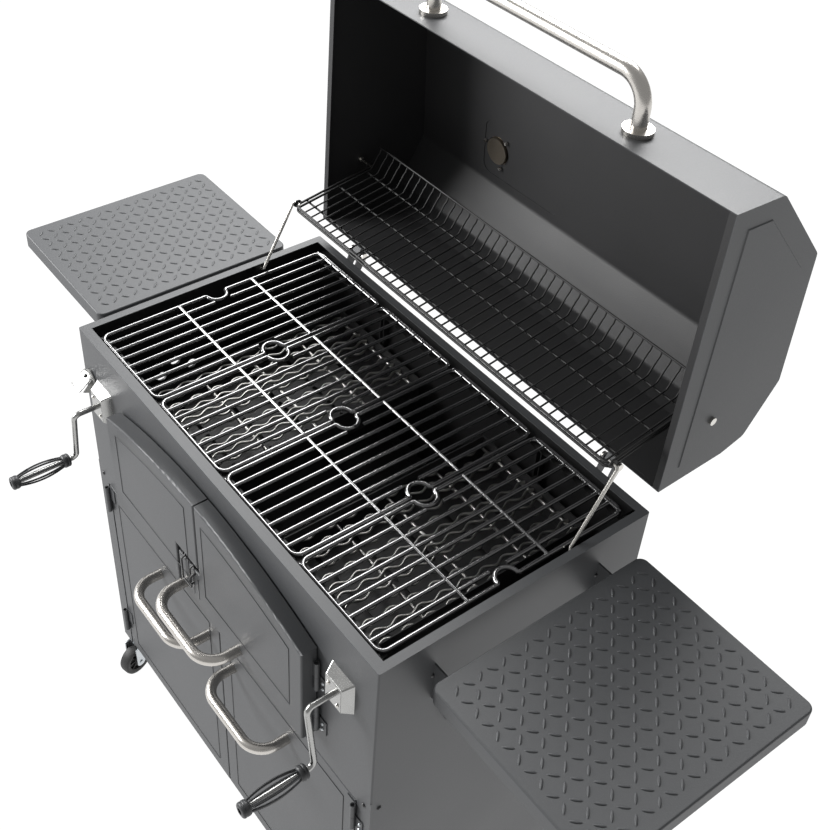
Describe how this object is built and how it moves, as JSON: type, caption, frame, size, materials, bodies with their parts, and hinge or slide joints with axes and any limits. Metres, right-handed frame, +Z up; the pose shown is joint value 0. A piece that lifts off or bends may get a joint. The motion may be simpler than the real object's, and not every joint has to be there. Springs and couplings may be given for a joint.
{
  "type": "charcoal grill cart",
  "caption": "Wide charcoal grill on a cabinet cart, with a hinged faceted hood, crank-lifted charcoal trays, lift-off cooking grates and side shelves.",
  "frame": {"origin": "on the floor, under the middle of the box round the grill with its hood open", "axes": "+X to the user's right, -Y towards the user, +Z up"},
  "size_m": [1.602, 0.955, 1.566],
  "materials": {
    "powder_coat": "satin black-grey powder coat with a fine texture",
    "black_latch": "semi-gloss black",
    "tray_steel": "black enamelled sheet",
    "porcelain": "gloss black porcelain enamel",
    "grate_wire": "dull plated steel wire",
    "black_wire": "black coated wire",
    "stainless": "brushed stainless steel",
    "chrome": "chrome plate",
    "bright_steel": "nickel-plated steel",
    "grip_black": "dark moulded plastic",
    "gauge_metal": "steel dial case",
    "gauge_red": "red lacquer",
    "zinc": "zinc plate",
    "tyre": "hard black rubber"
  },
  "bodies": {
    "root": {"fire_box": "powder_coat", "grate_ledges": "powder_coat", "cart_side_left": "powder_coat", "cart_side_right": "powder_coat", "cart_back": "powder_coat", "cart_floor": "powder_coat", "front_rail": "powder_coat", "side_shelf_left": "powder_coat", "side_shelf_right": "powder_coat", "shelf_brackets": "powder_coat", "box_hinge_leaves": "powder_coat", "hood_hinge_pins": "bright_steel", "tray_guides": "powder_coat", "ash_pans": "tray_steel", "crank_plates": "chrome", "door_hinges": "powder_coat", "caster_plates": "zinc"},
    "hood": {"hood": "powder_coat", "hood_handle": "stainless", "hood_handle_washers": "stainless", "gauge_housing": "gauge_metal", "hood_hinge_leaves": "powder_coat", "rack_bolts": "bright_steel"},
    "gauge_needle": {"gauge_needle": "gauge_red"},
    "warming_rack": {"warming_rack": "black_wire"},
    "rack_leg_left": {"rack_leg_left": "bright_steel"},
    "rack_leg_right": {"rack_leg_right": "bright_steel"},
    "cooking_grate_1": {"cooking_grate_1": "porcelain"},
    "cooking_grate_2": {"cooking_grate_2": "porcelain"},
    "cooking_grate_3": {"cooking_grate_3": "porcelain"},
    "cooking_grate_4": {"cooking_grate_4": "porcelain"},
    "crank_left": {"crank_left": "chrome", "pinion_left": "bright_steel"},
    "crank_grip_left": {"crank_grip_left": "grip_black"},
    "charcoal_tray_left": {"charcoal_tray_left": "tray_steel", "charcoal_grate_left": "grate_wire"},
    "crank_right": {"crank_right": "chrome", "pinion_right": "bright_steel"},
    "crank_grip_right": {"crank_grip_right": "grip_black"},
    "charcoal_tray_right": {"charcoal_tray_right": "tray_steel", "charcoal_grate_right": "grate_wire"},
    "charcoal_door_left": {"charcoal_door_left": "powder_coat"},
    "charcoal_door_right": {"charcoal_door_right": "powder_coat", "charcoal_door_handle": "stainless", "latch_bracket": "black_latch"},
    "latch_bail": {"latch_bail": "black_latch"},
    "cabinet_door_left": {"cabinet_door_left": "powder_coat", "cabinet_handle_left": "stainless"},
    "cabinet_door_right": {"cabinet_door_right": "powder_coat", "cabinet_handle_right": "stainless"},
    "caster_front_left": {"caster_fork_front_left": "zinc"},
    "wheel_front_left": {"wheel_front_left": "tyre"},
    "caster_front_right": {"caster_fork_front_right": "zinc"},
    "wheel_front_right": {"wheel_front_right": "tyre"},
    "caster_back_left": {"caster_fork_back_left": "zinc"},
    "wheel_back_left": {"wheel_back_left": "tyre"},
    "caster_back_right": {"caster_fork_back_right": "zinc"},
    "wheel_back_right": {"wheel_back_right": "tyre"},
    "damper_left": {"damper_left": "powder_coat"},
    "damper_right": {"damper_right": "powder_coat"}
  },
  "joints": [
    {"name": "hood_hinge", "type": "hinge", "parent": "root", "child": "hood", "pos_m": [0, 0.23845, 0.964], "axis": [1, 0, 0], "range_deg": [0, 91.4]},
    {"name": "rack_pivot", "type": "hinge", "parent": "hood", "child": "warming_rack", "pos_m": [0, 0.31045, 1.094], "axis": [1, 0, 0], "range_deg": [-91.4, 0]},
    {"name": "rack_leg_left_pivot", "type": "hinge", "parent": "root", "child": "rack_leg_left", "pos_m": [-0.43, 0.07545, 0.938], "axis": [1, 0, 0], "range_deg": [0, 91.4]},
    {"name": "rack_leg_right_pivot", "type": "hinge", "parent": "root", "child": "rack_leg_right", "pos_m": [0.43, 0.07545, 0.938], "axis": [1, 0, 0], "range_deg": [0, 91.4]},
    {"name": "gauge_needle_turn", "type": "hinge", "parent": "hood", "child": "gauge_needle", "pos_m": [-0.224, 0.46995, 1.16884], "axis": [0, 0.9993, 0.038], "range_deg": [-120, 120]},
    {"name": "cooking_grate_1_lift", "type": "slide", "parent": "root", "child": "cooking_grate_1", "axis": [0, 0, 1], "range_m": [0, 0.03]},
    {"name": "cooking_grate_2_lift", "type": "slide", "parent": "root", "child": "cooking_grate_2", "axis": [0, 0, 1], "range_m": [0, 0.03]},
    {"name": "cooking_grate_3_lift", "type": "slide", "parent": "root", "child": "cooking_grate_3", "axis": [0, 0, 1], "range_m": [0, 0.03]},
    {"name": "cooking_grate_4_lift", "type": "slide", "parent": "root", "child": "cooking_grate_4", "axis": [0, 0, 1], "range_m": [0, 0.03]},
    {"name": "crank_left_turn", "type": "hinge", "parent": "root", "child": "crank_left", "pos_m": [-0.362, -0.28955, 0.832], "axis": [0, -1, 0], "range_deg": [0, 210]},
    {"name": "charcoal_tray_left_lift", "type": "slide", "parent": "root", "child": "charcoal_tray_left", "axis": [0, 0, 1], "range_m": [0, 0.06]},
    {"name": "crank_grip_left_spin", "type": "hinge", "parent": "crank_left", "child": "crank_grip_left", "pos_m": [-0.382, -0.40955, 0.718], "axis": [0, 1, 0], "continuous": true},
    {"name": "crank_right_turn", "type": "hinge", "parent": "root", "child": "crank_right", "pos_m": [0.362, -0.28955, 0.832], "axis": [0, 1, 0], "range_deg": [0, 210]},
    {"name": "charcoal_tray_right_lift", "type": "slide", "parent": "root", "child": "charcoal_tray_right", "axis": [0, 0, 1], "range_m": [0, 0.06]},
    {"name": "crank_grip_right_spin", "type": "hinge", "parent": "crank_right", "child": "crank_grip_right", "pos_m": [0.382, -0.40955, 0.718], "axis": [0, 1, 0], "continuous": true},
    {"name": "charcoal_door_left_hinge", "type": "hinge", "parent": "root", "child": "charcoal_door_left", "pos_m": [-0.305, -0.29555, 0.75], "axis": [0, 0, -1], "range_deg": [0, 95]},
    {"name": "cabinet_door_left_hinge", "type": "hinge", "parent": "root", "child": "cabinet_door_left", "pos_m": [-0.404, -0.29555, 0.35], "axis": [0, 0, -1], "range_deg": [0, 110]},
    {"name": "charcoal_door_right_hinge", "type": "hinge", "parent": "root", "child": "charcoal_door_right", "pos_m": [0.305, -0.29555, 0.75], "axis": [0, 0, 1], "range_deg": [0, 95]},
    {"name": "cabinet_door_right_hinge", "type": "hinge", "parent": "root", "child": "cabinet_door_right", "pos_m": [0.404, -0.29555, 0.35], "axis": [0, 0, 1], "range_deg": [0, 110]},
    {"name": "latch_bail_swing", "type": "hinge", "parent": "charcoal_door_right", "child": "latch_bail", "pos_m": [-0.03, -0.31655, 0.7455], "axis": [-1, 0, 0], "range_deg": [0, 80]},
    {"name": "caster_front_left_swivel", "type": "hinge", "parent": "root", "child": "caster_front_left", "pos_m": [-0.414, -0.26255, 0.08], "axis": [0, 0, 1], "continuous": true},
    {"name": "wheel_front_left_spin", "type": "hinge", "parent": "caster_front_left", "child": "wheel_front_left", "pos_m": [-0.40779, -0.28573, 0.0375], "axis": [-0.9659, -0.2588, 0], "continuous": true},
    {"name": "caster_front_right_swivel", "type": "hinge", "parent": "root", "child": "caster_front_right", "pos_m": [0.414, -0.26255, 0.08], "axis": [0, 0, 1], "continuous": true},
    {"name": "wheel_front_right_spin", "type": "hinge", "parent": "caster_front_right", "child": "wheel_front_right", "pos_m": [0.426, -0.24177, 0.0375], "axis": [0.866, -0.5, 0], "continuous": true},
    {"name": "caster_back_left_swivel", "type": "hinge", "parent": "root", "child": "caster_back_left", "pos_m": [-0.414, 0.19345, 0.08], "axis": [0, 0, 1], "continuous": true},
    {"name": "wheel_back_left_spin", "type": "hinge", "parent": "caster_back_left", "child": "wheel_back_left", "pos_m": [-0.41981, 0.21674, 0.0375], "axis": [0.9703, 0.2419, 0], "continuous": true},
    {"name": "caster_back_right_swivel", "type": "hinge", "parent": "root", "child": "caster_back_right", "pos_m": [0.414, 0.19345, 0.08], "axis": [0, 0, 1], "continuous": true},
    {"name": "wheel_back_right_spin", "type": "hinge", "parent": "caster_back_right", "child": "wheel_back_right", "pos_m": [0.41899, 0.21693, 0.0375], "axis": [0.9781, -0.2079, 0], "continuous": true},
    {"name": "damper_left_turn", "type": "hinge", "parent": "root", "child": "damper_left", "pos_m": [-0.4416, -0.10955, 0.757], "axis": [-1, 0, 0], "range_deg": [0, 36]},
    {"name": "damper_right_turn", "type": "hinge", "parent": "root", "child": "damper_right", "pos_m": [0.4416, -0.10955, 0.757], "axis": [1, 0, 0], "range_deg": [0, 36]}
  ],
  "couplings": [
    {"joint": "rack_pivot", "follows": "hood_hinge", "ratio": -1},
    {"joint": "rack_leg_left_pivot", "follows": "hood_hinge", "ratio": 1},
    {"joint": "rack_leg_right_pivot", "follows": "hood_hinge", "ratio": 1},
    {"joint": "charcoal_tray_left_lift", "follows": "crank_left_turn", "m_per_rad": 0.016},
    {"joint": "charcoal_tray_right_lift", "follows": "crank_right_turn", "m_per_rad": 0.016}
  ]
}
